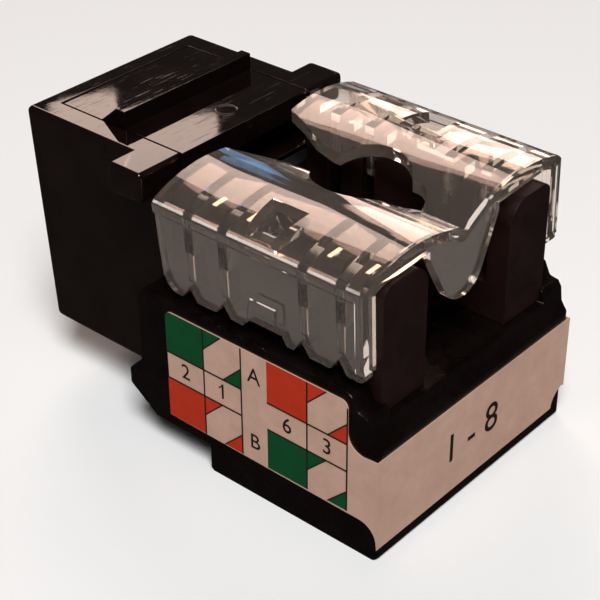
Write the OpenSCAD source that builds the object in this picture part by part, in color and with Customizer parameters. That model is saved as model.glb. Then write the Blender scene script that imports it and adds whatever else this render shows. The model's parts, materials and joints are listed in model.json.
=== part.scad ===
// Panel-mount data jack module: an eight-way plug socket at the front, two insulation-displacement
// towers at the rear, and a clear cap over the towers.
// X runs across the jack, Y from the socket's mouth to the rear face, and Z up from the resting face.
// The origin is under the middle of the jack, on the resting face.

/* [Port] */
// Width of the socket housing, which passes through the panel
port_w = 14.5; // [14.3:0.1:14.7]
// Height of the socket housing
port_h = 15; // [14.8:0.1:15.2]
// Depth of the socket housing, from its mouth to its rear face
port_d = 11.8; // [11.6:0.1:12]
// Height of the socket housing's underside above the resting face
port_z = 3.5; // [3.4:0.1:3.6]
// How far the mouth leans back from its top edge to its bottom edge
mouth_lean = 1; // [0:0.1:1.2]
// Width over the two ears that stop the jack behind the panel
ear_w = 18.2; // [17.8:0.1:18.8]

/* [Latch] */
// Width of the sprung latch lever
lever_w = 11.1; // [10.6:0.1:11.1]
// Height of the catch ridge above the top face
ridge_h = 1.15; // [0.9:0.05:1.2]
// Distance from the mouth to the ridge's catch face
ridge_y = 7.06; // [6.9:0.02:7.2]
// Gap between the ridge and the ears, where the panel sits
panel_gap = 2.04; // [1.8:0.02:2.2]

/* [Base] */
// Width of the rear base
base_w = 18.8; // [18.6:0.1:19]
// Height of the base's side walls
base_h = 10.9; // [10.7:0.1:11]
// Height of the deck that the towers stand on
deck_z = 8.9; // [8.8:0.1:9]

/* [Towers] */
// Distance between the two towers, which is the width of the cable channel
channel_w = 7.8; // [7.4:0.2:8]
// Height of the tower tops
tower_top = 17.15; // [16.9:0.05:17.2]
// Width of each wire slot
slot_w = 1; // [0.9:0.05:1.1]
// Distance between the two slots of one pair
slot_pitch = 2.65; // [2.6:0.05:2.7]

/* [Cap] */
// Thickness of the cap's top
cap_t = 0.8; // [0.6:0.1:0.9]
// Radius of the hole for the cable in the cap's top
cable_r = 3; // [2.9:0.05:3]
// Angle at which the cap sits, raised on the -X side
cap_roll = 2.5; // [0:0.5:2.5]

/* [Label] */
// Thickness of the wiring label
label_t = 0.1; // [0.05:0.01:0.15]

/* [Hidden] */
$fn = 48;
EPS = 0.01;
BIG = 60;
N_PINS = 8;
TOWERS = [1, -1];
TOWER_NAMES = ["left", "right"];
SLOTS = [0, 1, 2, 3];

// Overall stations along the jack, measured from the mouth
depth = 29.8;
port_top = port_z + port_h;
ear_y = ridge_y + panel_gap;
ear_t = 2;
step_y = 16.9;
cover_h = 1.9;
nose_y = 10.1;
cheek_y = 11.2;
wall_end_y = 27.4;
wall_end_z = 9.8;
rear_rim_z = 7.9;

// Socket and the parts inside it
socket_w = 11.8;
socket_z = 7;
socket_top = 13.7;
carrier_w = 10.8;
carrier_y = 2.4;
carrier_top = 14.5;
carrier_rear = 12.8;
lever_floor = 14.8;
pin_pitch = 1.02;
wire_w = 0.46;
wire_t = 0.25;
lead_z = 13.78;
lead_y = 12;
flex_y = 3;
flex_z = 13.3;
beam_l = 7.3;
beam_a = 21;

// Latch lever
hinge_y = 1.6;
hinge_r = 0.55;
hinge_z = port_top - hinge_r;
lever_t = 1.15;
lever_gap = 0.05;

// Circuit board
board_z = 5.2;
board_t = 1.2;
board_top = board_z + board_t;
deck_under = 6.9;
bay_wall = 1.2;
bay_floor = 1;
under_board = 4.2;

// Towers and their contacts
tower_y = 13.2;
tower_end = 28.7;
tower_mid = 21.05;
tower_in = channel_w / 2;
tower_out = 7.8;
tower_r = 1.5;
pair_half = 2.95;
slot_floor = 11.4;
blade_x = 6.1;
blade_t = 0.4;
blade_half = 1.15;
blade_top = 16.2;

// Cap
cap_y = 13.1;
cap_end = 28.55;
cap_wall = 0.6;
cap_half = 9.2;
skirt_out = 9.05;
skirt_top = 16.8;
skirt_foot = 11.6;
notch_z = 12.5;
wing_r = 9.8;
wing_x = 5.1;
wing_z = 8.6;
rear_wall = 0.6;
rear_lip_z = 17.3;
tongue_x = 0.25;
valley_z = wing_z + sqrt(wing_r * wing_r - wing_x * wing_x);
funnel_x = 7.1;
funnel_y = tower_mid - 0.35;
funnel_w = 2.8;
funnel_z = 16.9;
funnel_hole = 0.9;

// Label, which drops at the rear corners to a lower strip across the rear face
label_z0 = 2.6;
label_z1 = 10.3;
label_y0 = 13.7;
label_rear_z0 = 0.9;
label_rear_z1 = 7.1;

function slot_y(k) = tower_mid + (k < 2 ? -1 : 1) * pair_half
    + (k == 0 ? -slot_pitch : k == 3 ? slot_pitch : 0);
function pin_x(i) = (i - (N_PINS + 1) / 2) * pin_pitch;

// Moves a piece from coordinates measured at the mouth to the jack's own frame
module placed() {
    translate([0, -(depth + label_t) / 2, 0]) children();
}

// A box given by its two corners
module block(lo, hi) {
    translate(lo) cube(hi - lo);
}

// A box that is the same on both sides of the jack's middle plane
module wide(w, y0, y1, z0, z1) {
    block([-w / 2, y0, z0], [w / 2, y1, z1]);
}

// Extrudes a (y, z) outline across the jack from x0 to x1
module across(x0, x1) {
    translate([x0, 0, 0]) rotate([90, 0, 90]) linear_extrude(x1 - x0) children();
}

// Extrudes an (x, z) outline along the jack from y0 to y1
module along(y0, y1) {
    translate([0, y1, 0]) rotate([90, 0, 0]) linear_extrude(y1 - y0) children();
}

// A rod across the jack, centred on the middle plane
module cross_rod(r, w, y, z) {
    translate([0, y, z]) rotate([0, 90, 0]) cylinder(h = w, r = r, center = true);
}

// Puts its children on both sides of the middle plane
module both_sides() {
    children();
    mirror([1, 0, 0]) children();
}

// ---- Front half: socket housing and latch ----

// Side view of the housing, with the fixed catch under it
module port_outline() {
    catch_h = 1.1;
    catch_flat = 0.8;
    catch_l = 2;
    polygon([
        [0, port_top], [port_d, port_top], [port_d, port_z],
        [ridge_y, port_z], [ridge_y, port_z - catch_h], [ridge_y - catch_flat, port_z - catch_h],
        [ridge_y - catch_l, port_z], [mouth_lean, port_z]
    ]);
}

// The plug's cavity, the slot for its clip, and the carrier's seat above it
module socket_space() {
    back = port_d + EPS;
    clip_w = 6.2;
    clip_z = 5.6;
    key_w = 3.6;
    key_z = 4.5;
    wide(socket_w, -1, back, socket_z, socket_top);
    wide(clip_w, -1, back, clip_z, socket_z + EPS);
    wide(key_w, -1, back, key_z, clip_z + EPS);
    wide(carrier_w, carrier_y, back, socket_top - EPS, carrier_top);
}

// The lever's slot in the top, with the seat for its root
module lever_space() {
    side_gap = 0.1;
    space_w = lever_w + 2 * side_gap;
    wide(space_w, hinge_y, port_d + EPS, lever_floor, port_top + 1);
    cross_rod(hinge_r + lever_gap, space_w, hinge_y, hinge_z);
    wide(space_w, hinge_y, hinge_y + 1, hinge_z, port_top + 1);
}

// Cored tunnels in the thick floor on both sides of the clip's slot, open at the back
module floor_cores() {
    both_sides() block([4, 2.2, 4.4], [6.35, port_d + EPS, 6.1]);
}

// Side relief that narrows the catch under the socket
module catch_relief() {
    catch_half = 5.5;
    both_sides() block([catch_half, 0, 0], [port_w, ridge_y + 1, port_z]);
}

module port_housing() {
    color([0.05, 0.05, 0.055]) placed() difference() {
        union() {
            across(-port_w / 2, port_w / 2) port_outline();
            wide(ear_w, ear_y, port_d, port_top - ear_t, port_top);
        }
        socket_space();
        lever_space();
        floor_cores();
        catch_relief();
    }
}

// Sprung lever with the catch ridge across it and a thicker tail between the ears
module latch_lever() {
    tail_z = port_top - 1.5;
    ridge_ramp = 2.1;
    ridge_flat = 0.75;
    color([0.06, 0.06, 0.065]) placed() union() {
        across(-lever_w / 2, lever_w / 2) polygon([
            [hinge_y, port_top], [ridge_y - ridge_ramp, port_top],
            [ridge_y - ridge_flat, port_top + ridge_h], [ridge_y, port_top + ridge_h], [ridge_y, port_top],
            [port_d, port_top], [port_d, tail_z], [port_d - 0.9, tail_z],
            [port_d - 1.4, port_top - lever_t], [hinge_y, port_top - lever_t + 0.05]
        ]);
        cross_rod(hinge_r, lever_w, hinge_y, hinge_z);
    }
}

// ---- Rear half: base, cover and board ----

// Side view of the base. Its nose reaches forward under the ears and closes the gap for the panel.
module base_outline() {
    polygon([
        [cheek_y, base_h - 0.4], [cheek_y + 0.4, base_h],
        [wall_end_y, base_h], [wall_end_y + 0.5, base_h - 0.25], [wall_end_y + 0.9, wall_end_z],
        [wall_end_y + 1.5, wall_end_z - 0.1], [wall_end_y + 1.75, wall_end_z - 0.5],
        [wall_end_y + 1.9, rear_rim_z + 0.3], [depth - 0.3, rear_rim_z], [depth, rear_rim_z - 0.2],
        [depth, cover_h],
        [12.2, cover_h], [nose_y, 3.4], [nose_y, 4.5], [nose_y + 0.7, 5.2], [cheek_y, 5.6]
    ]);
}

// Plan view of the base, with its upright corners rounded
module base_plan() {
    r = 0.35;
    half = base_w / 2;
    difference() {
        translate([-half, nose_y - 1]) square([base_w, depth - nose_y + 1]);
        for (s = TOWERS) translate([s * half, depth]) difference() {
            square(2 * r, center = true);
            translate([-s * r, -r]) circle(r);
        }
    }
}

// Hollow for the board, open downwards behind the step, and a way up for the carrier
module board_space() {
    inner = base_w - 2 * bay_wall;
    floor_z = cover_h + bay_floor;
    wide(inner, carrier_rear, depth - bay_wall, floor_z, deck_under);
    wide(inner, step_y + bay_wall, depth - bay_wall, cover_h - EPS, floor_z + EPS);
    wide(carrier_w, port_d - EPS, carrier_rear + EPS, floor_z, carrier_top);
}

module rear_base() {
    half = base_w / 2;
    rear_notch = 0.6;
    color([0.045, 0.045, 0.05]) placed() difference() {
        intersection() {
            across(-half, half) base_outline();
            translate([0, 0, -1]) linear_extrude(BIG) base_plan();
        }
        wide(port_w, 0, port_d, port_z, BIG);
        wide(2 * tower_out, carrier_rear, tower_end + EPS, deck_z, BIG);
        wide(2 * tower_out - rear_notch, tower_end, BIG, deck_z, BIG);
        board_space();
        for (s = TOWERS, k = SLOTS) blade_hole(s, k, deck_z - 2, deck_z + EPS);
    }
    board_rests();
}

// Four pads under the deck that the board presses against
module board_rests() {
    color([0.045, 0.045, 0.05]) placed() for (y = [14.2, 26.9]) both_sides()
        block([7, y, board_top], [8, y + 1, deck_under]);
}

// Cover under the board. Its raised floor fills the bay below the board, and four posts hold the board up.
module bottom_cover() {
    half = base_w / 2;
    edge = 0.15;
    bay_gap = 0.1;
    color([0.05, 0.05, 0.052]) placed() {
        intersection() {
            across(-half, half) polygon([
                [step_y, edge], [step_y + edge, 0], [depth - edge, 0], [depth, edge],
                [depth, cover_h], [step_y, cover_h]
            ]);
            translate([0, 0, -1]) linear_extrude(BIG) base_plan();
        }
        wide(base_w - 2 * (bay_wall + bay_gap), step_y + bay_wall + bay_gap, depth - bay_wall - bay_gap,
            cover_h, under_board);
        for (y = [19.3, 26.9]) both_sides() block([6.9, y, under_board], [7.8, y + 1.2, board_z]);
    }
}

// Board with clearance holes for the leads and the blades
module circuit_board() {
    pin_gap = 0.04;
    color([0.05, 0.32, 0.16]) placed() difference() {
        union() {
            wide(15.8, carrier_rear + 0.1, depth - 1.6, board_z, board_top);
            wide(carrier_w - 0.2, port_d + 0.1, carrier_rear + 1, board_z, board_top);
        }
        for (i = [1 : N_PINS]) block(
            [pin_x(i) - wire_w / 2 - pin_gap, lead_y - pin_gap, board_z - 1],
            [pin_x(i) + wire_w / 2 + pin_gap, lead_y + wire_t + pin_gap, board_top + 1]
        );
        for (s = TOWERS, k = SLOTS) translate([s * blade_x, slot_y(k), board_z])
            cube([blade_t + 2 * pin_gap, 0.7, 6], center = true);
    }
}

// ---- Socket contacts ----

// Insulating carrier: a plate over the socket and a wall behind it, with a channel for each lead
module contact_carrier() {
    groove = wire_w + 0.06;
    color([0.08, 0.08, 0.085]) placed() difference() {
        union() {
            wide(carrier_w, carrier_y, port_d, socket_top, carrier_top);
            wide(carrier_w, port_d, carrier_rear, board_top, carrier_top);
        }
        for (i = [1 : N_PINS]) {
            translate([pin_x(i), 0, 0]) {
                wide(groove, carrier_y + 0.5, lead_y + wire_t + 0.03, socket_top - 1, lead_z + wire_t + 0.03);
                wide(groove, lead_y - 0.03, lead_y + wire_t + 0.03, board_top - 1, lead_z + wire_t);
            }
        }
    }
}

// Fixed part of the eight wires, from the socket's roof down into the board
module contact_leads() {
    lead_top = lead_z + wire_t;
    color([0.85, 0.66, 0.25]) placed() for (i = [1 : N_PINS]) translate([pin_x(i), 0, 0])
        across(-wire_w / 2, wire_w / 2) polygon([
            [flex_y + 0.2, lead_z], [lead_y, lead_z], [lead_y, board_z - 0.8],
            [lead_y + wire_t, board_z - 0.8], [lead_y + wire_t, lead_top], [flex_y + 0.2, lead_top]
        ]);
}

// Free part of one wire, which slopes down into the socket and bears on the plug
module spring_contact(i) {
    knuckle_r = 0.3;
    tip_r = 0.35;
    color([0.9, 0.7, 0.28]) placed() translate([pin_x(i), flex_y, flex_z]) {
        rotate([-beam_a, 0, 0]) {
            translate([-wire_w / 2, 0, -wire_t / 2]) cube([wire_w, beam_l, wire_t]);
            translate([0, beam_l, tip_r - wire_t / 2]) difference() {
                rotate([0, 90, 0]) cylinder(h = wire_w, r = tip_r, center = true);
                rotate([0, 90, 0]) cylinder(h = 1, r = tip_r - wire_t / 2, center = true);
                translate([0, -1, 0]) cube([2, 2, 3], center = true);
            }
        }
        rotate([0, 90, 0]) cylinder(h = wire_w, r = knuckle_r, center = true);
    }
}

// ---- Towers and their contacts ----

// Pocket for one contact blade
module blade_hole(s, k, z0, z1) {
    gap = 0.05;
    translate([s * blade_x, slot_y(k), 0]) block(
        [-blade_t / 2 - gap, -blade_half - gap, z0],
        [blade_t / 2 + gap, blade_half + gap, z1]
    );
}

// End view of the +X tower
module tower_outline() {
    outer_r = 0.7;
    intersection() {
        translate([tower_in, deck_z]) square([tower_out - tower_in, tower_top - deck_z]);
        union() {
            translate([tower_in, deck_z]) square([tower_out - tower_in, tower_top - deck_z - tower_r]);
            translate([tower_in + tower_r, tower_top - tower_r]) circle(tower_r);
            translate([tower_out - outer_r, tower_top - outer_r]) circle(outer_r);
            translate([tower_in + tower_r, deck_z])
                square([tower_out - tower_in - tower_r - outer_r, tower_top - deck_z]);
            translate([tower_in + tower_r, deck_z])
                square([tower_out - tower_in - tower_r, tower_top - deck_z - outer_r]);
        }
    }
}

// One wire slot, which widens at its mouth so that the wire finds its way in
module wire_slot(y) {
    flare = 0.45;
    across(0, tower_out + 1) polygon([
        [y - slot_w / 2, slot_floor], [y + slot_w / 2, slot_floor],
        [y + slot_w / 2, tower_top - 0.9], [y + slot_w / 2 + flare, tower_top + EPS],
        [y - slot_w / 2 - flare, tower_top + EPS], [y - slot_w / 2, tower_top - 0.9]
    ]);
}

// One tower, with four wire slots and a pocket for the blade in each
module idc_tower(s) {
    color([0.04, 0.04, 0.045]) placed() mirror([s < 0 ? 1 : 0, 0, 0]) difference() {
        along(tower_y, tower_end) tower_outline();
        for (k = SLOTS) {
            wire_slot(slot_y(k));
            blade_hole(1, k, deck_z - 1, blade_top + 0.2);
        }
        // room for the cap's square funnel
        block([funnel_x - 1.9, tower_mid - 1.95, 15.9], [BIG, tower_mid + 1.95, BIG]);
    }
}

// Forked blade that cuts through the wire's insulation
module idc_contact(s, k) {
    fork = 0.2;
    foot_z = deck_z + 1.5;
    color([0.78, 0.77, 0.74]) placed() translate([s * blade_x, slot_y(k), 0])
        across(-blade_t / 2, blade_t / 2) polygon([
            [-0.3, board_z - 0.8], [0.3, board_z - 0.8], [0.3, board_top], [blade_half, board_top + 0.1],
            [blade_half, blade_top - 0.5], [blade_half - 0.4, blade_top], [0.45, blade_top],
            [fork / 2, blade_top - 0.8], [fork / 2, foot_z], [-fork / 2, foot_z],
            [-fork / 2, blade_top - 0.8], [-0.45, blade_top], [-blade_half + 0.4, blade_top],
            [-blade_half, blade_top - 0.5], [-blade_half, board_top + 0.1], [-0.3, board_top]
        ]);
}

// ---- Cap ----

// End view of the cap's two arched wings, as a solid up to radius r of each
module wings(r) {
    for (s = TOWERS) intersection() {
        translate([s * wing_x, wing_z]) circle(r, $fn = 128);
        translate([s > 0 ? 0 : -cap_half, skirt_foot]) square([cap_half, BIG]);
    }
}

// One V notch of the comb, as three points of the skirt's side view
function notch(y) = [[y - 0.6, skirt_foot], [y, notch_z], [y + 0.6, skirt_foot]];

// Side view of the skirt: a comb with a raised flat between its two pairs of notches
module skirt_outline() {
    mid_lo = tower_mid - 0.95;
    mid_hi = tower_mid + 1.55;
    polygon(concat(
        [[cap_y, skirt_top + 0.5], [cap_y + 0.1, 15], [cap_y + 0.3, skirt_foot + 1],
         [cap_y + 0.6, skirt_foot + 0.35], [cap_y + 1.1, skirt_foot]],
        notch(slot_y(0)), notch(slot_y(1)),
        [[mid_lo - 0.5, skirt_foot], [mid_lo, skirt_foot + 0.6],
         [mid_hi, skirt_foot + 0.6], [mid_hi + 0.3, skirt_foot]],
        notch(slot_y(2)), notch(slot_y(3)),
        [[cap_end - 0.3, skirt_foot], [cap_end, skirt_foot + 0.3], [cap_end, skirt_top + 0.5]]
    ));
}

// Rounded tongue that hangs behind the cable channel
module tongue_outline() {
    r = 1.9;
    drop = 0.85;
    round_z = skirt_foot + 3;
    half = 3.2;
    waist = sqrt(r * r - drop * drop);
    translate([tongue_x, 0]) {
        translate([0, round_z]) circle(r);
        polygon([[-half, rear_lip_z + 0.2], [half, rear_lip_z + 0.2], [half, valley_z - 0.2],
                 [waist, round_z - drop], [-waist, round_z - drop], [-half, valley_z - 0.2]]);
    }
}

// The opening in the top: a tapering mouth, the cable's hole, and a smaller round end
module cable_cut() {
    neck_y = tower_mid - 3.2;
    neck = 1.35;
    end_r = 1.5;
    translate([0, 0, skirt_foot]) linear_extrude(BIG) {
        polygon([
            [-3.3, cap_y - 1], [3.3, cap_y - 1], [2.4, cap_y + 1.5], [1.7, cap_y + 3], [neck, neck_y],
            [neck, tower_mid], [-neck, tower_mid], [-neck, neck_y], [-1.7, cap_y + 3],
            [-2.4, cap_y + 1.5]
        ]);
        translate([0, tower_mid - 0.1]) circle(cable_r);
        translate([0, tower_mid + 2.75]) circle(end_r);
    }
}

// A square pyramid under a wing, w_low wide at z0 and w wide at z1
module pyramid(w, w_low, z0, z1) {
    side = [[-w_low / 2, z0], [w_low / 2, z0], [w / 2, z1], [-w / 2, z1]];
    intersection() {
        along(funnel_y - w, funnel_y + w) translate([funnel_x, 0]) polygon(side);
        across(0, cap_half + w) translate([funnel_y, 0]) polygon(side);
    }
}

// Rib that pushes one wire down into its slot, relieved around the blade
module stuffer_rib(k) {
    rib_w = 0.7;
    y = slot_y(k);
    difference() {
        intersection() {
            block([4.4, y - rib_w / 2, 14.6], [skirt_out - 0.1, y + rib_w / 2, BIG]);
            along(0, BIG) wings(wing_r - 0.3);
        }
        block([blade_x - 0.5, y - 1, 10], [blade_x + 0.5, y + 1, blade_top + 0.4]);
    }
}

// One side of the cap: skirt, rim, corner post, lug and ribs
module cap_side() {
    skirt_in = skirt_out - cap_wall;
    rim_z = wing_z + sqrt(wing_r * wing_r - (8.9 - wing_x) * (8.9 - wing_x));
    post_w = 0.9;
    post_t = 0.6;
    // skirt with its comb, and the bevelled rim above it
    across(skirt_in, skirt_out) skirt_outline();
    along(cap_y, cap_end) intersection() {
        wings(wing_r);
        polygon([
            [skirt_in, skirt_top - 0.05], [cap_half, skirt_top - 0.05],
            [cap_half, rim_z - 0.3], [8.6, rim_z + 0.3], [8.3, rim_z + 0.3]
        ]);
    }
    // upright post at the rear corner, outboard of the tower
    block([skirt_out - post_w, cap_end - post_t, skirt_foot + 0.6], [cap_half, cap_end, skirt_top + 0.2]);
    // snap lug on the middle tooth
    across(skirt_out - EPS, cap_half) polygon([
        [tower_mid - 0.75, 13.8], [tower_mid + 1.2, 13.8], [tower_mid + 1.2, 12.4],
        [tower_mid - 0.95, 12.4]]);
    for (k = SLOTS) {
        stuffer_rib(k);
        // the rib's foot runs on down the inside of the skirt
        block([skirt_in - 0.15, slot_y(k) - 0.25, notch_z + 0.2], [skirt_in + 0.1, slot_y(k) + 0.25, 15]);
    }
}

// The whole cap, level
module cap_solid() {
    wing_in = wing_r - cap_t;
    difference() {
        union() {
            along(cap_y, cap_end) difference() {
                wings(wing_r);
                wings(wing_in);
                translate([-BIG, -BIG]) square([2 * BIG, BIG + 15.5]);
                both_sides() translate([8.75, 0]) square(BIG);
            }
            along(cap_end - rear_wall, cap_end) intersection() {
                wings(wing_r);
                union() {
                    translate([-8.7, rear_lip_z]) square([2 * 8.7, BIG]);
                    tongue_outline();
                }
            }
            both_sides() cap_side();
            both_sides() intersection() {
                pyramid(funnel_w + 1, 1.9, funnel_z - 0.3, 18.6);
                along(0, BIG) wings(wing_r - 0.1);
            }
        }
        cable_cut();
        both_sides() pyramid(funnel_w + 0.6, funnel_hole, funnel_z, 19);
        both_sides() translate([funnel_x, funnel_y, 15]) cube([funnel_hole, funnel_hole, 10], center = true);
    }
}

module dust_cap() {
    pivot = [skirt_out, 0, skirt_foot];
    color([0.85, 0.88, 0.9, 0.4]) placed()
        translate(pivot) rotate([0, cap_roll, 0]) translate(-pivot) cap_solid();
}

// ---- Label ----

// Wiring label: one strip round both sides and the rear face
module wiring_label() {
    half = base_w / 2;
    bend_y = depth - 2.2;
    scallop = 1.9;
    color([0.86, 0.84, 0.8]) placed() {
        for (s = TOWERS) mirror([s < 0 ? 1 : 0, 0, 0]) across(half, half + label_t) polygon([
            [label_y0, label_z0], [depth - 0.9, label_z0 - 0.05], [depth - 0.2, label_z0 - 0.35],
            [depth + label_t, s > 0 ? label_rear_z0 : scallop], [depth + label_t, label_rear_z1],
            [bend_y + 0.6, label_rear_z1 + 0.1], [bend_y + 0.1, label_rear_z1 + 0.6],
            [bend_y, label_z1 - 0.6], [bend_y - 0.6, label_z1], [label_y0, label_z1]
        ]);
        along(depth, depth + label_t) polygon([
            [-half, label_rear_z1], [half, label_rear_z1], [half, label_rear_z0],
            [scallop - half, label_rear_z0], [scallop * 0.35 - half, label_rear_z0 + 0.35], [-half, scallop]
        ]);
    }
}

port_housing();
latch_lever();
rear_base();
bottom_cover();
circuit_board();
contact_carrier();
contact_leads();
for (i = [0, 1]) idc_tower(TOWERS[i]);
dust_cap();
wiring_label();
for (i = [1 : N_PINS]) spring_contact(i);
for (i = [1 : N_PINS]) idc_contact(TOWERS[i > 4 ? 1 : 0], (i - 1) % 4);
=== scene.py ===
import json
import math

import bmesh
import bpy
from mathutils import Matrix, Vector

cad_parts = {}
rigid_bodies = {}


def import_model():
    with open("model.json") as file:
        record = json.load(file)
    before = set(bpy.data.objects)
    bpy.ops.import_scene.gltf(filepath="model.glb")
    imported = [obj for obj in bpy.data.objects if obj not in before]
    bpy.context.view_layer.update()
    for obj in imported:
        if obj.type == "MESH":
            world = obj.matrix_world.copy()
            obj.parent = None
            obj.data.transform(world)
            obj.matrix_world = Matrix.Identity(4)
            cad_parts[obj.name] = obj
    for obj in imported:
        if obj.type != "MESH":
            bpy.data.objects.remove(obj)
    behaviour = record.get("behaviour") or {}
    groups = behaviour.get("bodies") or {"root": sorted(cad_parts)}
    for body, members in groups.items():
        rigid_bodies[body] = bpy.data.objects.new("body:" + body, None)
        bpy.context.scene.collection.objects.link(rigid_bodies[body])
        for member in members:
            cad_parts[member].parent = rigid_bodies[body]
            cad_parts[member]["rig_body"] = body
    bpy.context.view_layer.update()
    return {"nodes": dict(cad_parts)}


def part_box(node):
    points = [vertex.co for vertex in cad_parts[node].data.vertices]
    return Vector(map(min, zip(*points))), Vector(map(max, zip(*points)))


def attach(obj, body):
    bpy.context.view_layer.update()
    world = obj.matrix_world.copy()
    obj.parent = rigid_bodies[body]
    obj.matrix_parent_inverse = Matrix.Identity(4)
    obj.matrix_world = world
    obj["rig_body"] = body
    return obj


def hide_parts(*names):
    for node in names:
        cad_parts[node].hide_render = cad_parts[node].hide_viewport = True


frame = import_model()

MM = 0.001
NODES = frame["nodes"]
SCENE = bpy.context.scene

# ---- Colours, linear ----
LABEL_WHITE = (0.565, 0.363, 0.283)
PRINT_DARK = (0.022, 0.010, 0.008)
PRINT_GREEN = (0.001, 0.075, 0.022)
PRINT_ORANGE = (0.50, 0.026, 0.003)
PRINT_BLUE = (0.012, 0.05, 0.30)
PRINT_BROWN = (0.14, 0.045, 0.016)


# ---- Relief and wear of the moulded plastics ----
SWELL_SHARE = 0.8
GRAIN_SHARE = 0.10
MARK_SHARE = 0.10
RELIEF_MM = 0.002
MARK_ROUGHNESS = 0.12
MARK_LEVELS = (0.69, 0.74)


# ---- Node helpers ----
def new_material(name):
    """An empty Principled material; its coordinates are the part's own, in millimetres."""
    material = bpy.data.materials.new(name)
    material.use_nodes = True
    tree = material.node_tree
    shader = tree.nodes["Principled BSDF"]
    coords = tree.nodes.new("ShaderNodeTexCoord")
    scale = tree.nodes.new("ShaderNodeMapping")
    scale.inputs["Scale"].default_value = (1 / MM, 1 / MM, 1 / MM)
    tree.links.new(coords.outputs["Object"], scale.inputs["Vector"])
    return material, tree, shader, scale.outputs["Vector"]


def noise(tree, vector, scale, detail=3.0, rough=0.55, stretch=(1, 1, 1), turn=(0, 0, 0)):
    """Noise whose cells are stretched along a turned axis, as one value."""
    mapping = tree.nodes.new("ShaderNodeMapping")
    mapping.inputs["Rotation"].default_value = [math.radians(a) for a in turn]
    mapping.inputs["Scale"].default_value = stretch
    texture = tree.nodes.new("ShaderNodeTexNoise")
    texture.inputs["Scale"].default_value = scale
    texture.inputs["Detail"].default_value = detail
    texture.inputs["Roughness"].default_value = rough
    tree.links.new(vector, mapping.inputs["Vector"])
    tree.links.new(mapping.outputs["Vector"], texture.inputs["Vector"])
    return texture.outputs["Fac"]


def remap(tree, value, low, high, to_low, to_high):
    """value from low..high to to_low..to_high, held at the ends."""
    node = tree.nodes.new("ShaderNodeMapRange")
    limits = {"From Min": low, "From Max": high, "To Min": to_low, "To Max": to_high}
    for key, number in limits.items():
        node.inputs[key].default_value = number
    tree.links.new(value, node.inputs["Value"])
    return node.outputs["Result"]


def math_node(tree, operation, a, b):
    """One sum or product; a and b are numbers or the outputs of other nodes."""
    node = tree.nodes.new("ShaderNodeMath")
    node.operation = operation
    for socket, value in zip(node.inputs, (a, b)):
        if isinstance(value, (int, float)):
            socket.default_value = value
        else:
            tree.links.new(value, socket)
    return node.outputs["Value"]


def mix_colours(tree, factor, a, b):
    """Colour a where factor is 0, colour b where it is 1."""
    node = tree.nodes.new("ShaderNodeMix")
    node.data_type = "RGBA"
    node.inputs["A"].default_value = (*a, 1)
    node.inputs["B"].default_value = (*b, 1)
    tree.links.new(factor, node.inputs["Factor"])
    return node.outputs["Result"]


def bump(tree, shader, height, depth_mm):
    """Relief in the surface's shading only; the mesh is not changed."""
    node = tree.nodes.new("ShaderNodeBump")
    node.inputs["Strength"].default_value = 1.0
    node.inputs["Distance"].default_value = depth_mm * MM
    tree.links.new(height, node.inputs["Height"])
    tree.links.new(node.outputs["Normal"], shader.inputs["Normal"])


def scratches(tree, vector, turns, density):
    """Fine straight scratches in several directions, 1 on a scratch and 0 elsewhere."""
    low, high = (level - density for level in MARK_LEVELS)
    total = None
    for turn in turns:
        line = noise(tree, vector, 1.0, detail=1.0, stretch=(0.35, 9, 9), turn=(0, 0, turn))
        patch = noise(tree, vector, 0.45, detail=1.0, turn=(turn, 20, turn))
        line = remap(tree, line, low, high, 0, 1)
        line = math_node(tree, "MULTIPLY", line, remap(tree, patch, 0.45, 0.6, 0, 1))
        total = line if total is None else math_node(tree, "MAXIMUM", total, line)
    return total


# ---- Materials ----
def black_plastic(name, rough_low, rough_high, scratch, colour, shine=0.5, wave=1.0):
    """Moulded black plastic: faint waves of the mould, smudges and fine handling scratches."""
    material, tree, shader, at = new_material(name)
    smudge = noise(tree, at, 0.5, detail=5, rough=0.6)
    swell = noise(tree, at, 0.55, detail=2, rough=0.5)
    grain = noise(tree, at, 9, detail=2)
    marks = scratches(tree, at, (12, 55, 100, 151), scratch)
    worn = tuple(c * 1.5 + 0.001 for c in colour)
    tree.links.new(mix_colours(tree, remap(tree, smudge, 0.4, 0.75, 0, 1), colour, worn),
                   shader.inputs["Base Color"])
    rough = remap(tree, smudge, 0.35, 0.7, rough_low, rough_high)
    rough = math_node(tree, "ADD", rough, math_node(tree, "MULTIPLY", marks, MARK_ROUGHNESS))
    tree.links.new(rough, shader.inputs["Roughness"])
    shader.inputs["IOR"].default_value = 1.5
    shader.inputs["Specular IOR Level"].default_value = shine
    height = math_node(tree, "ADD", math_node(tree, "MULTIPLY", swell, SWELL_SHARE * wave),
                       math_node(tree, "MULTIPLY", grain, GRAIN_SHARE))
    height = math_node(tree, "SUBTRACT", height, math_node(tree, "MULTIPLY", marks, MARK_SHARE))
    bump(tree, shader, height, RELIEF_MM)
    return material


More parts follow.
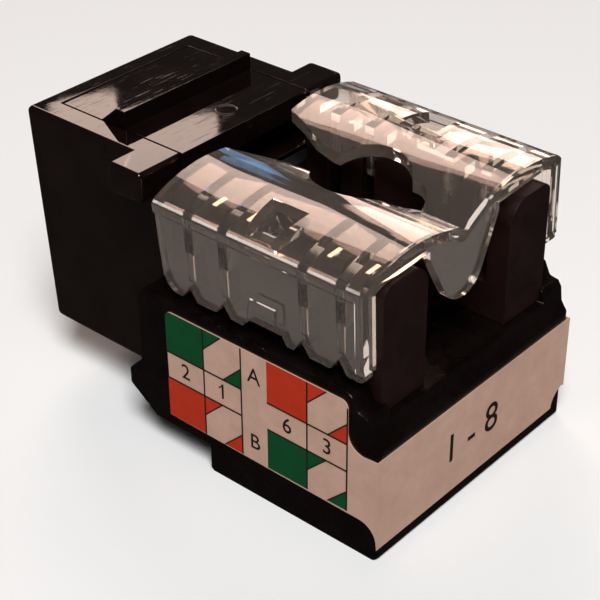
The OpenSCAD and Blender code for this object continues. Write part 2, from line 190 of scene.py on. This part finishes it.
def clear_plastic():
    """Clear moulded plastic, very slightly milky, with flow lines and light scuffs."""
    material, tree, shader, at = new_material("clear_plastic")
    flow = noise(tree, at, 0.3, detail=2, stretch=(1, 0.5, 1))
    scuff = scratches(tree, at, (25, 80, 140), 0.0)
    haze = noise(tree, at, 1.1, detail=4)
    tree.links.new(mix_colours(tree, haze, (0.91, 0.78, 0.69), (0.95, 0.86, 0.79)),
                   shader.inputs["Base Color"])
    rough = math_node(tree, "ADD", remap(tree, haze, 0.4, 0.75, 0.01, 0.05),
                      math_node(tree, "MULTIPLY", scuff, MARK_ROUGHNESS))
    tree.links.new(rough, shader.inputs["Roughness"])
    shader.inputs["Transmission Weight"].default_value = 0.96
    shader.inputs["IOR"].default_value = 1.53
    bump(tree, shader, flow, RELIEF_MM)
    return material


def printed(name, colour):
    """Label film or ink: satin, a little uneven, with a fine paper-like grain."""
    material, tree, shader, at = new_material(name)
    uneven = noise(tree, at, 0.9, detail=5)
    grain = noise(tree, at, 22, detail=2)
    darker = tuple(c * 0.86 for c in colour)
    tree.links.new(mix_colours(tree, remap(tree, uneven, 0.3, 0.7, 0, 1), darker, colour),
                   shader.inputs["Base Color"])
    tree.links.new(remap(tree, grain, 0.3, 0.7, 0.38, 0.5), shader.inputs["Roughness"])
    shader.inputs["Specular IOR Level"].default_value = 0.15
    bump(tree, shader, grain, 0.003)
    return material


def metal(name, colour, tarnish, rough):
    """Plated metal with drawn lines along it and a little tarnish."""
    material, tree, shader, at = new_material(name)
    drawn = noise(tree, at, 3, detail=2, stretch=(12, 0.6, 0.6))
    stain = noise(tree, at, 1.6, detail=4)
    tree.links.new(mix_colours(tree, remap(tree, stain, 0.45, 0.75, 0, 1), colour, tarnish),
                   shader.inputs["Base Color"])
    tree.links.new(remap(tree, drawn, 0.3, 0.7, rough * 0.7, rough * 1.4),
                   shader.inputs["Roughness"])
    shader.inputs["Metallic"].default_value = 1
    bump(tree, shader, drawn, 0.004)
    return material


def board_laminate():
    """Green solder mask over a faint glass weave."""
    material, tree, shader, at = new_material("board_laminate")
    weave = tree.nodes.new("ShaderNodeTexWave")
    weave.inputs["Scale"].default_value = 1.6
    weave.inputs["Distortion"].default_value = 0.6
    tree.links.new(at, weave.inputs["Vector"])
    dark, light = (0.008, 0.10, 0.035), (0.013, 0.15, 0.055)
    tree.links.new(mix_colours(tree, weave.outputs["Fac"], dark, light),
                   shader.inputs["Base Color"])
    tree.links.new(remap(tree, noise(tree, at, 2), 0.3, 0.7, 0.25, 0.4), shader.inputs["Roughness"])
    bump(tree, shader, weave.outputs["Fac"], 0.004)
    return material


LOOKS = {
    "housing": black_plastic("housing_plastic", 0.015, 0.05, 0.01, (0.0046, 0.0020, 0.0014)),
    "latch": black_plastic("latch_plastic", 0.015, 0.05, 0.02, (0.0040, 0.0020, 0.0014)),
    "base": black_plastic("base_plastic", 0.20, 0.36, 0.0, (0.0026, 0.0013, 0.0010), shine=0.2),
    "tower": black_plastic("tower_plastic", 0.42, 0.6, 0.0, (0.0120, 0.0045, 0.0040),
                           shine=0.15, wave=0.3),
    "insulator": black_plastic("insulator_plastic", 0.35, 0.5, 0.0, (0.010, 0.009, 0.010),
                               shine=0.3),
    "clear": clear_plastic(),
    "gold": metal("gold_plate", (0.82, 0.56, 0.20), (0.55, 0.33, 0.12), 0.2),
    "tin": metal("tin_plate", (0.60, 0.68, 0.78), (0.40, 0.44, 0.50), 0.25),
    "board": board_laminate(),
    "white": printed("label_film", LABEL_WHITE),
    "dark": printed("ink_dark", PRINT_DARK),
    "green": printed("ink_green", PRINT_GREEN),
    "orange": printed("ink_orange", PRINT_ORANGE),
    "blue": printed("ink_blue", PRINT_BLUE),
    "brown": printed("ink_brown", PRINT_BROWN),
}


# ---- Mesh helpers ----
SHARP_DEG = 16  # on the cap, edges that turn further than this stay sharp
FLAT_DEG = 0.5  # faces that turn less than this are one face
WELD_MM = 0.002
ROUNDED_DEG = 32  # edges that turn further than this are rounded
ROUNDED_STEPS = 3
ROOM_SHARE = 0.35  # how much of the shortest neighbouring edge a rounding may use
SEAM_REACH_MM = 0.12
SEAM_WIDTH_MM = 0.03


def add_piece(name, mesh, look, body):
    """A new object with one material, riding on a body of the frame."""
    piece = bpy.data.objects.new(name, mesh)
    SCENE.collection.objects.link(piece)
    mesh.materials.clear()
    mesh.materials.append(LOOKS[look])
    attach(piece, body)
    return piece


def even_shading(piece):
    """Weights shading by face area, so that large flat faces stay flat beside small curved ones."""
    weighted = piece.modifiers.new("even_shading", "WEIGHTED_NORMAL")
    weighted.mode = "FACE_AREA"
    weighted.weight = 100
    weighted.keep_sharp = True


def inside(point, low, high, margin_mm):
    """Whether a point lies in the box low..high grown by a margin."""
    margin = margin_mm * MM
    return all(low[i] - margin <= point[i] <= high[i] + margin for i in range(3))


def softened(node, name, look, width_mm, seam_with=None):
    """A copy of a CAD node with its sharp edges rounded, standing for the node.

    Each edge is rounded as far as its own neighbours leave room, up to width_mm. Edges that lie
    close round the node seam_with are rounded only a little, so that the seam stays thin.
    """
    bm = bmesh.new()
    bm.from_mesh(NODES[node].data)
    bmesh.ops.remove_doubles(bm, verts=bm.verts, dist=WELD_MM * MM)
    bmesh.ops.dissolve_limit(bm, angle_limit=math.radians(FLAT_DEG), verts=bm.verts, edges=bm.edges)
    weights = bm.edges.layers.float.new("bevel_weight_edge")
    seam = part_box(seam_with) if seam_with else None
    for edge in bm.edges:
        if len(edge.link_faces) != 2 or edge.calc_face_angle() < math.radians(ROUNDED_DEG):
            continue
        nearby = [other.calc_length() for vert in edge.verts
                  for other in vert.link_edges if other != edge]
        width = min(width_mm * MM, ROOM_SHARE * min(nearby))
        if seam and all(inside(vert.co, *seam, SEAM_REACH_MM) for vert in edge.verts):
            width = min(width, SEAM_WIDTH_MM * MM)
        edge[weights] = width / (width_mm * MM)
    mesh = bpy.data.meshes.new(name)
    bm.to_mesh(mesh)
    bm.free()
    mesh.shade_smooth()
    piece = add_piece(name, mesh, look, NODES[node]["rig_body"])
    bevel = piece.modifiers.new("rounded_edges", "BEVEL")
    bevel.width = width_mm * MM
    bevel.segments = ROUNDED_STEPS
    bevel.limit_method = "WEIGHT"
    bevel.use_clamp_overlap = False  # this limit would hold every edge to the tightest one
    even_shading(piece)
    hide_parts(node)


def crisp(node, name, look):
    """A copy of a CAD node with curved faces smooth and edges sharp, standing for the node."""
    mesh = NODES[node].data.copy()
    mesh.name = name
    mesh.shade_smooth()
    mesh.set_sharp_from_angle(angle=math.radians(SHARP_DEG))
    piece = add_piece(name, mesh, look, NODES[node]["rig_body"])
    even_shading(piece)
    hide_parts(node)


def repaint(node, look):
    """A new material on a CAD node that is shown as it is."""
    data = NODES[node].data
    data.materials.clear()
    data.materials.append(LOOKS[look])


# ---- CAD pieces ----
# Node, piece that stands for it, look, slot, widest rounding in mm, node it shares a thin seam with
SOFTENED = [
    ("port_housing", "socket_shell", "housing", "black_housing", 0.30, "latch_lever"),
    ("latch_lever", "sprung_lever", "latch", "black_latch", 0.03, None),
    ("rear_base", "base_shell", "base", "black_base", 0.15, None),
    ("bottom_cover", "cover_plate", "base", "black_base", 0.12, None),
    ("idc_tower_left", "tower_left", "tower", "black_tower", 0.12, None),
    ("idc_tower_right", "tower_right", "tower", "black_tower", 0.12, None),
    ("contact_carrier", "wire_carrier", "insulator", "black_insulator", 0.05, None),
]
for node, name, look, slot, width, neighbour in SOFTENED:
    softened(node, name, look, width, seam_with=neighbour)
crisp("dust_cap", "clear_cap", "clear")

REPAINTED = {"circuit_board": "board", "contact_leads": "gold"}
for node in NODES:
    if node.startswith("spring_contact"):
        REPAINTED[node] = "gold"
    if node.startswith("idc_contact"):
        REPAINTED[node] = "tin"
for node, look in REPAINTED.items():
    repaint(node, look)


# ---- Label and its printed chart ----
# Sizes and places are in millimetres. Along the jack they count from its middle, +Y to the rear.
_, LABEL_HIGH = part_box("wiring_label")
REAR_Y = LABEL_HIGH.y / MM
HALF_W = LABEL_HIGH.x / MM
FILM_MM = 0.09
INK_MM = 0.012
LINE_MM = 0.10
COLUMNS = [-1.25, 1.80, 4.80, 6.80, 9.82, 12.75]
ROWS = [2.72, 5.55, 7.45, 10.33]
STRIP_TOP = 7.10
STRIP_LOW = {1: 0.95, -1: 2.1}  # on the +X side and the -X side
FRONT_CORNER_R = 0.45
REAR_CORNER_R = 0.5
INNER_CORNER_R = 1.15
REAR_BEND_R = 1.25
SCALLOP_R = 1.35
MARK_SIZE = 1.5
REAR_MARK_SIZE = 2.9
LETTER_HEIGHTS = (("A", 8.78), ("B", 4.05))
STRIPE_WIDE, STRIPE_HIGH = 0.48, 0.49  # share of a striped cell that each coloured corner takes
TAGS = {1: "left", -1: "right"}
# Each column, front to rear: its number or letters, its upper and lower cell, whether striped
CHARTS = {
    1: [("2", "green", "orange", False), ("1", "green", "orange", True), ("AB", None, None, False),
        ("6", "orange", "green", False), ("3", "orange", "green", True)],
    -1: [("4", "blue", "blue", False), ("5", "blue", "blue", True), ("AB", None, None, False),
         ("8", "brown", "brown", False), ("7", "brown", "brown", True)],
}


def arc(centre, radius, start, end, steps=8):
    """Points of a circle's arc, with its angles in degrees."""
    turns = [math.radians(start + (end - start) * k / steps) for k in range(steps + 1)]
    return [(centre[0] + radius * math.cos(t), centre[1] + radius * math.sin(t)) for t in turns]


def plate(name, outline, place, depth_mm, look):
    """A thin shape on the label; place turns (along, up, depth) into a position in mm."""
    bm = bmesh.new()
    rings = [[bm.verts.new(Vector(place(a, u, d)) * MM) for a, u in outline] for d in (0, depth_mm)]
    bm.faces.new(rings[0])
    bm.faces.new(rings[1])
    for i in range(len(outline)):
        j = (i + 1) % len(outline)
        bm.faces.new((rings[0][i], rings[0][j], rings[1][j], rings[1][i]))
    bmesh.ops.recalc_face_normals(bm, faces=bm.faces)
    mesh = bpy.data.meshes.new(name)
    bm.to_mesh(mesh)
    bm.free()
    return add_piece(name, mesh, look, "jack")


def on_side(side, lift):
    """Places on the jack's +X or -X side, lifted off the label's outer face."""
    return lambda a, u, d: ((HALF_W + lift + d) * side, a, u)


def side_plate(name, outline, look, side, lift=0.0):
    """A printed shape on a side of the label."""
    plate(name, outline, on_side(side, lift), INK_MM, look)


def rectangle(a0, a1, u0, u1):
    return [(a0, u0), (a1, u0), (a1, u1), (a0, u1)]


def side_film(side):
    """The label's sheet on one side, with round corners."""
    front, rear, low, top = COLUMNS[0], COLUMNS[5], ROWS[0], ROWS[3]
    outline = [(front + 0.1, low - 0.02)]
    if side > 0:
        bend = (REAR_Y - REAR_BEND_R - 0.05, low - 0.15 - REAR_BEND_R)
        outline += arc(bend, REAR_BEND_R, 90, 0)
    else:
        outline += [(REAR_Y - REAR_BEND_R, low - 0.1)]
    outline += [(REAR_Y, STRIP_LOW[side]), (REAR_Y, STRIP_TOP + 0.1)]
    outline += arc((rear + INNER_CORNER_R, STRIP_TOP + INNER_CORNER_R), INNER_CORNER_R, -90, -180)
    outline += arc((rear - REAR_CORNER_R, top - REAR_CORNER_R), REAR_CORNER_R, 0, 90)
    outline += arc((front + FRONT_CORNER_R, top - FRONT_CORNER_R), FRONT_CORNER_R, 90, 180)
    sheet = plate("label_film_" + TAGS[side], outline, on_side(side, -FILM_MM), FILM_MM, "white")
    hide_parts("wiring_label")


def rear_film():
    """The label's lower strip across the rear, with a round notch at its -X end."""
    edge, low = HALF_W - FILM_MM, STRIP_LOW[1]
    outline = [(edge, STRIP_TOP + 0.1), (-edge, STRIP_TOP + 0.1)]
    outline += arc((-edge - 0.1, low - 0.1), SCALLOP_R, 86, 4)
    outline += [(edge, low)]
    strip = plate("label_film_rear", outline, lambda a, u, d: (a, REAR_Y - FILM_MM + d, u), FILM_MM,
                  "white")
    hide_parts("wiring_label")


def lettering(name, text, size_mm, place, right):
    """Plain printed lettering centred at place, reading along right and standing upright."""
    curve = bpy.data.curves.new(name, "FONT")
    curve.body = text
    curve.size = size_mm * MM
    curve.align_x = "CENTER"
    curve.align_y = "CENTER"
    curve.extrude = INK_MM * MM / 2
    holder = bpy.data.objects.new(name + "_curve", curve)
    SCENE.collection.objects.link(holder)
    shaped = holder.evaluated_get(bpy.context.evaluated_depsgraph_get())
    mesh = bpy.data.meshes.new_from_object(shaped)
    bpy.data.objects.remove(holder)
    right, up = Vector(right), Vector((0, 0, 1))
    turn = Matrix((right, up, right.cross(up))).transposed().to_4x4()
    mesh.transform(Matrix.Translation(place) @ turn)
    mesh.name = name
    add_piece(name, mesh, "dark", "jack")


def diagonal(name, side, a, b):
    """A thin dark line from a to b, two points (along, up)."""
    run = Vector(b) - Vector(a)
    half = Vector((-run.y, run.x)).normalized() * (LINE_MM * 0.4)
    corners = [Vector(a) - half, Vector(b) - half, Vector(b) + half, Vector(a) + half]
    side_plate(name, [tuple(c) for c in corners], "dark", side, INK_MM)


def chart_cell(name, side, a0, a1, u0, u1, look, striped, rounded=False):
    """One cell of the chart: filled, or with two coloured corners cut off by dark lines."""
    if not striped:
        outline = rectangle(a0, a1, u0, u1)
        if rounded:
            outline = outline[:3] + arc((a0 + FRONT_CORNER_R, u1 - FRONT_CORNER_R),
                                        FRONT_CORNER_R, 90, 180)
        side_plate(name, outline, look, side)
        return
    wide, high = (a1 - a0) * STRIPE_WIDE, (u1 - u0) * STRIPE_HIGH
    upper, lower = ((a0, u1 - high), (a0 + wide, u1)), ((a1 - wide, u0), (a1, u0 + high))
    side_plate(name + "_upper", [*upper, (a0, u1)], look, side)
    side_plate(name + "_lower", [lower[0], (a1, u0), lower[1]], look, side)
    diagonal(name + "_edge_upper", side, *upper)
    diagonal(name + "_edge_lower", side, *lower)


def chart(side):
    """The chart on one side: cells, numbers and letters, then the lines between the cells."""
    tag = TAGS[side]
    reading = (0, side, 0)
    face_x = (HALF_W + INK_MM) * side * MM
    for k, (mark, upper, lower, striped) in enumerate(CHARTS[side]):
        a0, a1 = COLUMNS[k], COLUMNS[k + 1]
        middle = (a0 + a1) / 2 * MM
        if mark == "AB":
            for letter, height in LETTER_HEIGHTS:
                lettering(f"mark_{tag}_{letter}", letter, MARK_SIZE, (face_x, middle, height * MM),
                          reading)
            continue
        cell = f"cell_{tag}_{mark}"
        chart_cell(cell + "_top", side, a0, a1, ROWS[2], ROWS[3], upper, striped, k == 0)
        chart_cell(cell + "_bottom", side, a0, a1, ROWS[0], ROWS[1], lower, striped)
        height = (ROWS[1] + ROWS[2]) / 2 * MM
        lettering(f"mark_{tag}_{mark}", mark, MARK_SIZE, (face_x, middle, height), reading)
        if mark == "1":
            # the built-in letters draw 1 as a plain stroke, so its flag is added
            along, top = middle / MM, height / MM + 0.47
            diagonal("mark_flag", side, (along - 0.3, top - 0.24), (along, top))
    half = LINE_MM / 2
    for k in (1, 2, 4, 5):
        top = ROWS[3] if k < 5 else ROWS[3] - 0.4
        outline = rectangle(COLUMNS[k] - half, COLUMNS[k] + half, ROWS[0], top)
        side_plate(f"line_{tag}_upright_{k}", outline, "dark", side, INK_MM)
    for k, u in enumerate(ROWS[1:3]):
        for part, (a0, a1) in enumerate(((COLUMNS[0], COLUMNS[2]), (COLUMNS[3], COLUMNS[5]))):
            outline = rectangle(a0, a1, u - half, u + half)
            side_plate(f"line_{tag}_level_{k}_{part}", outline, "dark", side, INK_MM)


for side in (1, -1):
    side_film(side)
rear_film()
for side in (1, -1):
    chart(side)
rear_mark_place = (0.6 * MM, LABEL_HIGH.y + INK_MM * MM, 4.1 * MM)
lettering("mark_rear", "1 - 8", REAR_MARK_SIZE, rear_mark_place, (-1, 0, 0))


# ---- Moulding mark ----
LEVER_TOP_MM = 18.5
RING_STEPS = 40
RING_PROFILE = ((-1, 0), (-0.4, 1), (0.4, 1), (1, 0))  # across the ring and up, in thicknesses


def ring(name, centre_mm, radius_mm, thick_mm, look, body):
    """The shallow round mark that an ejector pin leaves."""
    bm = bmesh.new()
    loops = []
    for r, z in RING_PROFILE:
        reach, lift = radius_mm + r * thick_mm, z * thick_mm * 0.5
        loop = []
        for k in range(RING_STEPS):
            t = 2 * math.pi * k / RING_STEPS
            offset = Vector((reach * math.cos(t), reach * math.sin(t), lift))
            loop.append(bm.verts.new((Vector(centre_mm) + offset) * MM))
        loops.append(loop)
    for inner, outer in zip(loops, loops[1:]):
        for k in range(RING_STEPS):
            n = (k + 1) % RING_STEPS
            bm.faces.new((inner[k], inner[n], outer[n], outer[k]))
    bmesh.ops.recalc_face_normals(bm, faces=bm.faces)
    mesh = bpy.data.meshes.new(name)
    bm.to_mesh(mesh)
    bm.free()
    mesh.shade_smooth()
    add_piece(name, mesh, look, body)


ring("ejector_mark", (-0.3, -5.15, LEVER_TOP_MM), 0.66, 0.10, "latch", "latch")


# ---- Floor, light and camera ----
FLOOR_HALF_M = 2.0
FLOOR_COLOURS = (0.90, 0.955, 0.985), (0.905, 0.96, 0.99)
WORLD_COLOUR = (1, 0.9, 0.84)
WORLD_STRENGTH = 0.05
AIM_MM = (0, 0, 15)
WARM = (1.0, 0.74, 0.63)
NEAR_WHITE = (1, 0.95, 0.92)
BLUE = (0.25, 0.55, 1)
# Each lamp: the azimuths and elevations it fills in degrees, distance in mm, radiance, colour.
# The key is over the camera. The tall lamp, in three parts, is the one whose mirror image shows on
# the upper faces; the far lamp does the same for the cap's far wing.
LAMPS = [
    ("key", (205, 245), (44, 74), 600, 16.8, NEAR_WHITE),
    ("tall_lamp_step", (44.6, 48.9), (26.5, 30), 900, 4.4, WARM),
    ("tall_lamp_low", (48.9, 64), (25.45, 30), 900, 4.4, WARM),
    ("tall_lamp", (38, 64), (30, 49), 900, 4.9, WARM),
    ("far_lamp", (26, 35), (10, 30), 900, 5.0, WARM),
    ("blue_window", (38, 41), (14, 20), 900, 1.6, BLUE),
]
CAMERA_PLACE_MM = (63.885, 56.867, 62.419)
CAMERA_BACK = (0.6316, 0.5518, 0.5446)
CAMERA_ROLL_DEG = -0.35
LENS_MM, SENSOR_MM = 96.5, 36
CLIP_NEAR_M, CLIP_FAR_M = 0.001, 10


def towards(azimuth, elevation):
    """A direction from the jack; azimuth 0 is -X and 90 is -Y."""
    a, e = math.radians(azimuth), math.radians(elevation)
    return Vector((-math.cos(a) * math.cos(e), -math.sin(a) * math.cos(e), math.sin(e)))


def soft_box(name, azimuths, elevations, distance_mm, radiance, colour):
    """A rectangular lamp that fills a range of directions as seen from the jack."""
    azimuth, elevation = sum(azimuths) / 2, sum(elevations) / 2
    middle = towards(azimuth, elevation)
    wide = math.radians(azimuths[1] - azimuths[0]) * math.cos(math.radians(elevation))
    high = math.radians(elevations[1] - elevations[0])
    data = bpy.data.lights.new(name, "AREA")
    data.shape = "RECTANGLE"
    data.size = 2 * math.tan(wide / 2) * distance_mm * MM
    data.size_y = 2 * math.tan(high / 2) * distance_mm * MM
    data.energy = radiance * math.pi * data.size * data.size_y
    data.color = colour
    lamp = bpy.data.objects.new(name, data)
    SCENE.collection.objects.link(lamp)
    lamp.location = Vector(AIM_MM) * MM + middle * distance_mm * MM
    lamp.rotation_euler = (-middle).to_track_quat("-Z", "Y").to_euler()


def studio():
    """A pale matt floor, a dim warm world and the lamps."""
    material, tree, shader, at = new_material("floor_paint")
    tree.links.new(mix_colours(tree, noise(tree, at, 0.02), *FLOOR_COLOURS),
                   shader.inputs["Base Color"])
    shader.inputs["Roughness"].default_value = 0.9
    bm = bmesh.new()
    bmesh.ops.create_grid(bm, x_segments=1, y_segments=1, size=FLOOR_HALF_M)
    mesh = bpy.data.meshes.new("floor")
    bm.to_mesh(mesh)
    bm.free()
    mesh.materials.append(material)
    floor = bpy.data.objects.new("floor", mesh)
    SCENE.collection.objects.link(floor)
    floor.visible_glossy = False  # the black plastic would mirror it as grey
    world = bpy.data.worlds.new("studio_world")
    SCENE.world = world
    world.use_nodes = True
    background = world.node_tree.nodes["Background"]
    background.inputs["Color"].default_value = (*WORLD_COLOUR, 1)
    background.inputs["Strength"].default_value = WORLD_STRENGTH
    for lamp in LAMPS:
        soft_box(*lamp)


def camera():
    """The camera stands behind and above the jack, on its +X side."""
    data = bpy.data.cameras.new("camera")
    data.sensor_width = SENSOR_MM
    data.lens = LENS_MM
    data.clip_start, data.clip_end = CLIP_NEAR_M, CLIP_FAR_M
    body = bpy.data.objects.new("camera", data)
    SCENE.collection.objects.link(body)
    body.location = Vector(CAMERA_PLACE_MM) * MM
    body.rotation_mode = "QUATERNION"
    roll = Matrix.Rotation(math.radians(CAMERA_ROLL_DEG), 3, "Z").to_quaternion()
    body.rotation_quaternion = (-Vector(CAMERA_BACK)).to_track_quat("-Z", "Y") @ roll
    SCENE.camera = body


studio()
camera()
SCENE.view_settings.view_transform = "Standard"
